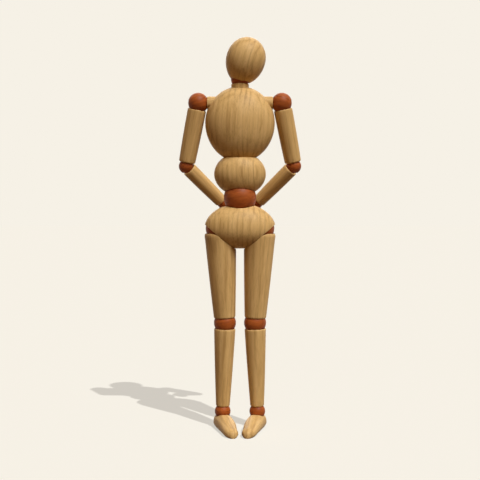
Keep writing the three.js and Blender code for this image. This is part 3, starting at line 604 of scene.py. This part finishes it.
upperArm = {"topBall": 7.85 * mm, "topRadius": 7.1 * mm, "endBall": 5.8 * mm, "endRadius": 6.4 * mm,
            "topLip": 0.6 * mm, "endLip": 1.1 * mm, "swell": 0.15 * mm, "roundOver": 1.4 * mm}
forearm = {"topBall": 5.8 * mm, "topRadius": 5.7 * mm, "endBall": 4.4 * mm, "endRadius": 5.1 * mm,
           "topLip": 0.6 * mm, "endLip": 0.6 * mm, "swell": 0.15 * mm, "roundOver": 1.2 * mm}
armJoints = {"raise": 75, "wristFlare": 44, "handIn": 12, "handBack": 14}
elbowRight = centres["right_elbow_turn"]
wristRight = centres["right_wrist_bend"]
upperArmDown = (elbowRight - shoulderRight).normalized()
forearmDown = (wristRight - elbowRight).normalized()
handDown = Vector((math.tan(math.radians(armJoints["handIn"])),
                   math.tan(math.radians(armJoints["handBack"])), -1)).normalized()
shoulderBend = axes["right_shoulder_raise"]
elbowBend = axes["right_elbow_bend"]
stubRim = rimDrop(stubShape["ball"], stubShape["radius"], stubShape["lip"])
handShape = {"length": 29 * mm, "start": 3.74 * mm, "halfWidth": 5.4 * mm, "thickness": 6 * mm,
             "thumbHalfWidth": 1.8 * mm, "thumbHalfLength": 5.5 * mm, "thumbSpread": 14,
             "thumbAt": 0.45, "hookLength": 12 * mm}
handStations = [  # share of the length, half width and half depth
    (0, 0.72, 0.66), (0.14, 0.80, 0.66), (0.32, 0.95, 0.58), (0.50, 1, 0.50),
    (0.68, 0.95, 0.46), (0.84, 0.82, 0.42), (0.95, 0.60, 0.33), (1, 0.25, 0.14),
]


def loftedRing(bm, ring, shape):
    made = bmesh.ops.extrude_edge_only(bm, edges=ring)["geom"]
    moved = [item for item in made if isinstance(item, bmesh.types.BMVert)]
    for vert in moved:
        vert.co = shape(vert.co)
    edges = [item for item in made if isinstance(item, bmesh.types.BMEdge)]
    return [edge for edge in edges if all(vert in moved for vert in edge.verts)]


def unitRing(segments):
    bm = bmesh.new()
    bmesh.ops.create_circle(bm, cap_ends=False, radius=1, segments=segments)
    return bm, [math.atan2(vert.co.y, vert.co.x) for vert in bm.verts]


def handBody():
    bm, _ = unitRing(40)
    ring = bm.edges[:]
    reach = handShape["length"] - handShape["start"]
    previous = (1, 1)
    for share, width, depth in handStations:
        halfWidth = handShape["halfWidth"] * width
        halfDepth = handShape["thickness"] * depth
        height = -handShape["start"] - reach * share

        def station(co):
            return Vector((co.x / previous[0] * halfWidth, co.y / previous[1] * halfDepth, height))

        if share == 0:
            for vert in bm.verts:
                vert.co = station(vert.co)
            bmesh.ops.contextual_create(bm, geom=ring)
        else:
            ring = loftedRing(bm, ring, station)
        previous = (halfWidth, halfDepth)
    bmesh.ops.contextual_create(bm, geom=ring)
    return bm


def addArm(side):
    mirror = mirrorSide[side]

    def along(direction):
        return mirror.to_3x3() @ direction

    shoulderPlace = mirror @ framed(shoulderRight, alongX, shoulderBend)
    stubEnd = shoulderSpan - stubInner
    stub = turnedBody([
        *cupArc(stubShape["ball"], stubShape["radius"], stubShape["lip"], 0, False)[::-1],
        (stubShape["radius"], stubRim),
        (stubShape["radius"], stubEnd),
        (boreRadius, stubEnd),
    ])
    pale(placed("stub", stub, shoulderPlace), side + "_shoulder_stub", "chest", alongX, 0.3 * mm)
    rest = turnAngle(upperArmDown, -alongX)
    ball = slottedBall("shoulder", stubShape["ball"], shoulderPlace, rest - armJoints["raise"], rest)
    stained(ball, side + "_shoulder_ball", side + "_shoulder_ball", along(Vector((1, 0.2, 0.3))))

    armPlace = mirror @ framed(shoulderRight, -upperArmDown, shoulderBend)
    arm = placed("upper_arm", limbBody((elbowRight - shoulderRight).length, upperArm), armPlace)
    pale(arm, side + "_upper_arm", side + "_upper_arm", along(upperArmDown), 0.3 * mm)
    elbowPlace = mirror @ framed(elbowRight, -upperArmDown, elbowBend)
    bent = turnAngle(forearmDown, upperArmDown)
    ball = slottedBall("elbow", upperArm["endBall"], elbowPlace, 0, bent)
    stained(ball, side + "_elbow_ball", side + "_elbow_ball", along(Vector((1, 0.1, 0.2))))

    forearmPlace = mirror @ framed(elbowRight, -forearmDown, elbowBend)
    lower = placed("forearm", limbBody((wristRight - elbowRight).length, forearm), forearmPlace)
    pale(lower, side + "_forearm", side + "_forearm", along(forearmDown), 0.3 * mm)
    wristPlace = mirror @ framed(wristRight, -forearmDown - handDown, elbowBend)
    bead = placed("wrist", beadBody(forearm["endBall"], armJoints["wristFlare"]), wristPlace)
    stained(bead, side + "_wrist_ball", side + "_wrist_ball", along(Vector((1, 0.3, 0))))

    handPlace = mirror @ framed(wristRight, -handDown, alongX)
    thumb = swollenBody(handShape["thumbHalfWidth"], handShape["thumbHalfWidth"],
                        handShape["thumbHalfLength"], handShape["thumbHalfLength"], 32)
    spread = Matrix.Rotation(-math.radians(handShape["thumbSpread"]), 4, "Y")
    thumbDown = -handShape["thumbAt"] * handShape["length"]
    thumbAt = Matrix.Translation((handShape["halfWidth"], 0, thumbDown))
    hand = placed("hand", handBody(), handPlace)
    hand = combined(hand, [placed("thumb", thumb, handPlace @ thumbAt @ spread)], "UNION")
    hand = carved(
        hand,
        placed("wrist_cup", roundBody(forearm["endBall"] + clearance), handPlace),
        placed("hook_hole", peg(studRoom, -handShape["hookLength"] - clearance, 0), handPlace),
    )
    pale(hand, side + "_hand", side + "_hand", along(handDown), 0.3 * mm)


# legs, as the right side has them

thighShape = {"topRadius": 12.2 * mm, "endRadius": 8.4 * mm, "rimDrop": 3.2 * mm,
              "topRound": (1.2 * mm, 3 * mm), "lip": 0.6 * mm, "swell": 0.15 * mm, "roundOver": 1.4 * mm}
shin = {"topBall": 8.5 * mm, "topRadius": 8.2 * mm, "endBall": 6.1 * mm, "endRadius": 5.4 * mm,
        "topLip": 0.6 * mm, "endLip": 0.6 * mm, "swell": 0.15 * mm, "roundOver": 1.4 * mm}
legJoints = {"kneeBend": 54, "ankleFlare": 38}
kneeRight = centres["right_knee_turn"]
ankleRight = centres["right_ankle_pitch"]
thighDown = (kneeRight - hipRight).normalized()
shinDown = (ankleRight - kneeRight).normalized()
hipBend = axes["right_hip_spread"]
footShape = {
    "length": 48 * mm, "heel": 10 * mm, "yaw": 13, "hookEnd": 1.8 * mm,
    "heelHalfWidth": 7.5 * mm, "ballHalfWidth": 6.0 * mm, "toeHalfWidth": 5.5 * mm, "ballAt": 0.6,
    "heelHeight": 10.8 * mm, "toeHeight": 6.5 * mm, "slope": (0.28, 0.95),
    "heelRound": 0.2, "toeLength": 0.2, "squareness": 0.8,
    "edge": 0.28, "sole": 0.8, "soleAngle": 27,
    "instep": (1.0 * mm, 0.50, 0.17),  # how much wider, where, and over what share
    "waisted": (-0.9 * mm, 0.79, 0.07),
}
footStations = [0.004, 0.02, 0.05, 0.1, 0.2, 0.28, 0.36, 0.45, 0.52, 0.58, 0.64, 0.69, 0.73, 0.77,
                0.81, 0.85, 0.89, 0.92, 0.95, 0.98, 0.997]


def smoothStep(value, low, high):
    share = min(1, max(0, (value - low) / (high - low)))
    return share * share * (3 - 2 * share)


def footSection(share):
    toHeel = math.sqrt(1 - max(0, 1 - share / footShape["heelRound"]) ** 2)
    toToe = math.sqrt(1 - max(0, 1 - (1 - share) / footShape["toeLength"]) ** 2)
    ballAt = footShape["ballAt"]
    if share < ballAt:
        swell = blended(footShape["heelHalfWidth"], footShape["ballHalfWidth"], share / ballAt)
    else:
        taper = (share - ballAt) / (1 - ballAt)
        swell = blended(footShape["ballHalfWidth"], footShape["toeHalfWidth"], taper)
    slope = smoothStep(share, *footShape["slope"])
    top = blended(footShape["heelHeight"], footShape["toeHeight"], slope)
    y = footShape["heel"] - share * footShape["length"]
    return swell * toHeel * toToe, top * math.sqrt(toHeel * toToe), y


def footPoint(angle, share):
    halfWidth, height, y = footSection(share)
    squareness, edge = footShape["squareness"], footShape["edge"]
    across = math.copysign(abs(math.cos(angle)) ** squareness, math.cos(angle))
    if across > 0:  # the inner side swells at the instep and draws in behind the toe
        for change, middle, spread in (footShape["instep"], footShape["waisted"]):
            halfWidth += change * math.exp(-((share - middle) / spread) ** 2)
    if math.sin(angle) < -1e-6:  # the underside narrows to a flat sole
        under = min(1, -math.sin(angle) / math.sin(math.radians(footShape["soleAngle"])))
        wide = blended(1, footShape["sole"], under)
        return Vector((halfWidth * across * wide, y, height * edge * (1 - under)))
    rise = edge + (1 - edge) * abs(math.sin(angle)) ** squareness
    return Vector((halfWidth * across, y, height * rise))


def footBody():
    bm, angles = unitRing(40)
    ring = bm.edges[:]
    for vert, angle in zip(bm.verts, angles):
        vert.co = footPoint(angle, footStations[0])
    bmesh.ops.contextual_create(bm, geom=ring)
    for before, share in zip(footStations, footStations[1:]):
        known = [(footPoint(angle, before), angle) for angle in angles]

        def station(co):
            nearest = min(known, key=lambda point: (point[0] - co).length)
            return footPoint(nearest[1], share)

        ring = loftedRing(bm, ring, station)
    bmesh.ops.contextual_create(bm, geom=ring)
    return bm


def thighBody(length):
    cup = shin["topBall"] + clearance
    rim = rimDrop(shin["topBall"], thighShape["endRadius"], thighShape["lip"])
    top = -thighShape["rimDrop"]
    sides = taperedSides(thighShape, top, rim - length + thighShape["roundOver"])
    endCup = arcPoints(cup, math.acos(rim / cup), 0, -length, 12)
    inset, drop = thighShape["topRound"]
    sides[0] = (sides[0][0], top - drop)
    topEdge = (sides[0][0] - inset, top)
    return turnedBody([(0, top), topEdge, *roundedRim(topEdge, sides[0]), *sides,
                       *roundedRim(endCup[0], sides[-1])[::-1], *endCup])


def addLeg(side):
    mirror = mirrorSide[side]

    def along(direction):
        return mirror.to_3x3() @ direction

    hipPlace = mirror @ framed(hipRight, alongX, hipBend)
    rest = turnAngle(thighDown, -alongX)
    ball = slottedBall("hip", hipShape["ball"], hipPlace, rest - hipShape["spread"], rest,
                       hipShape["counterbore"])
    stained(ball, side + "_hip_ball", side + "_hip_ball", along(Vector((1, 0.2, 0.2))))

    thighPlace = mirror @ framed(hipRight, -thighDown, hipBend)
    length = (kneeRight - hipRight).length
    boss = placed("boss", peg(hipShape["boss"], -2 * thighShape["topRadius"], 0, 48), thighPlace)
    thigh = carved(
        placed("thigh", thighBody(length), thighPlace),
        carved(placed("pelvis_room", pelvisForm(hipShape["gap"]), pelvisPlace), boss),
        placed("hip_cup", roundBody(hipShape["ball"] + clearance), thighPlace),
        placed("thigh_bore", peg(boreRadius, -length, 0), thighPlace),
    )
    pale(thigh, side + "_thigh", side + "_thigh", along(thighDown), 0.7 * mm)
    kneePlace = mirror @ framed(kneeRight, -thighDown, axes["right_knee_bend"])
    ball = slottedBall("knee", shin["topBall"], kneePlace, 0, legJoints["kneeBend"])
    stained(ball, side + "_knee_ball", side + "_knee_ball", along(Vector((1, 0.1, 0.1))))

    shinPlace = mirror @ framed(kneeRight, -shinDown, alongX)
    lower = placed("shin", limbBody((ankleRight - kneeRight).length, shin), shinPlace)
    pale(lower, side + "_shin", side + "_shin", along(shinDown), 0.3 * mm)
    anklePlace = mirror @ framed(ankleRight, -shinDown, alongX)
    bead = placed("ankle", beadBody(shin["endBall"], legJoints["ankleFlare"]), anklePlace)
    stained(bead, side + "_ankle_ball", side + "_ankle_ball", along(Vector((1, 0.1, 0))))

    yaw = math.radians(footShape["yaw"])
    underAnkle = Matrix.Translation((ankleRight.x, ankleRight.y, 0))
    footPlace = mirror @ underAnkle @ Matrix.Rotation(yaw, 4, "Z")
    hookHole = peg(studRoom, footShape["hookEnd"] - clearance, ankleRight.z)
    foot = carved(
        placed("foot", footBody(), footPlace),
        placed("ankle_cup", roundBody(shin["endBall"] + clearance),
               footPlace @ Matrix.Translation((0, 0, ankleRight.z))),
        placed("hook_hole", hookHole, footPlace),
    )
    toeWay = Vector((math.sin(yaw), -math.cos(yaw), 0))
    pale(foot, side + "_foot", side + "_foot", along(toeWay), 0.3 * mm)


for side in ("right", "left"):
    addArm(side)
    addLeg(side)
print("arms and legs built")

wire = wireMaterial()
for node in frame["nodes"].values():
    if not node.hide_render:
        node.data.materials.clear()
        node.data.materials.append(wire)


# floor, light and camera

setting = {
    "floorSize": 30,
    "backdrop": (0.922, 0.879, 0.791),
    "floorGlow": (0.551, 0.553, 0.518),
    "floorColour": (0.394, 0.3815, 0.341),
    "floorBounce": (0.12, 0.07, 0.035),
    "ambient": 0.21,
    "ambientColour": (1, 0.54, 0.24),
    "lamps": [  # what it lights, strength, side, height and softness in degrees
        ("body", 3.25, 33.3, 54, 30),
        ("lower_arms", 3.25, 33.3, 54, 30),
        ("floor", 2.9, 33.3, 53.4, 0.6),
        ("figure", 1.3, 180, 32, 60),
    ],
    "cameraBack": 0.665,
    "cameraHeight": 0.160,
    "cameraDown": 1.27,
    "lens": 65.0,
    "sensor": 36,
}
lowerArmWords = ("forearm", "wrist", "hand")
scene = bpy.context.scene


def seenRays(tree):
    path = tree.nodes.new("ShaderNodeLightPath")
    total = path.outputs["Is Camera Ray"]
    for kind in ("Is Glossy Ray", "Is Transmission Ray"):
        either = tree.nodes.new("ShaderNodeMath")
        either.operation = "MAXIMUM"
        link(tree, total, either.inputs[0])
        link(tree, path.outputs[kind], either.inputs[1])
        total = either.outputs["Value"]
    return total


def emptyTree(owner):
    owner.use_nodes = True
    owner.node_tree.nodes.clear()
    return owner.node_tree


def coloured(tree, kind, colour):
    node = tree.nodes.new(kind)
    node.inputs["Color"].default_value = (*colour, 1)
    return node


def seenOrLit(tree, output, lighting, seen):
    choose = tree.nodes.new("ShaderNodeMixShader")
    link(tree, seenRays(tree), choose.inputs["Fac"])
    link(tree, lighting, choose.inputs[1])
    link(tree, seen, choose.inputs[2])
    link(tree, choose.outputs["Shader"], tree.nodes.new(output).inputs["Surface"])


scene.view_settings.view_transform = "Standard"

floorMesh = bmesh.new()
bmesh.ops.create_grid(floorMesh, x_segments=2, y_segments=2, size=setting["floorSize"])
floor = meshObject("floor", floorMesh)
if floor.data.polygons[0].normal.z < 0:
    floor.data.flip_normals()
floorPaint = bpy.data.materials.new("floor_paint")
tree = emptyTree(floorPaint)
matt = coloured(tree, "ShaderNodeBsdfDiffuse", setting["floorColour"])
glow = coloured(tree, "ShaderNodeEmission", setting["floorGlow"])
both = tree.nodes.new("ShaderNodeAddShader")
link(tree, matt.outputs["BSDF"], both.inputs[0])
link(tree, glow.outputs["Emission"], both.inputs[1])
bounce = coloured(tree, "ShaderNodeBsdfDiffuse", setting["floorBounce"])
seenOrLit(tree, "ShaderNodeOutputMaterial", bounce.outputs["BSDF"], both.outputs["Shader"])
floor.data.materials.append(floorPaint)

world = bpy.data.worlds.new("studio")
scene.world = world
tree = emptyTree(world)
soft = coloured(tree, "ShaderNodeBackground", setting["ambientColour"])
soft.inputs["Strength"].default_value = setting["ambient"]
backdrop = coloured(tree, "ShaderNodeBackground", setting["backdrop"])
seenOrLit(tree, "ShaderNodeOutputWorld", soft.outputs["Background"], backdrop.outputs["Background"])

figure = [piece for piece in scene.objects if piece.type == "MESH" and piece != floor]
lowerArms = [piece for piece in figure if any(word in piece.name for word in lowerArmWords)]
body = [piece for piece in figure if piece not in lowerArms]
lit = {"figure": figure, "body": body, "lower_arms": lowerArms, "floor": [floor]}
receivers = {}
for name, pieces in lit.items():
    receivers[name] = bpy.data.collections.new("lit_" + name)
    for piece in pieces:
        receivers[name].objects.link(piece)
for name, strength, side, height, softness in setting["lamps"]:  # soft on the wood, crisp on the floor
    lamp = bpy.data.lights.new("sun_on_" + name, "SUN")
    lamp.energy = strength
    lamp.angle = math.radians(softness)
    sun = bpy.data.objects.new(lamp.name, lamp)
    scene.collection.objects.link(sun)
    sun.rotation_euler = (math.radians(90 - height), 0, math.radians(side))
    sun.light_linking.receiver_collection = receivers[name]
    if name == "lower_arms":  # the trunk throws no shadow on them in the photo
        sun.light_linking.blocker_collection = receivers[name]

camera = bpy.data.objects.new("camera", bpy.data.cameras.new("camera"))
scene.collection.objects.link(camera)
camera.data.lens = setting["lens"]
camera.data.sensor_width = setting["sensor"]
camera.location = (0, -setting["cameraBack"], setting["cameraHeight"])
camera.rotation_euler = (math.radians(90 - setting["cameraDown"]), 0, 0)
scene.camera = camera
print("floor, light and camera set")
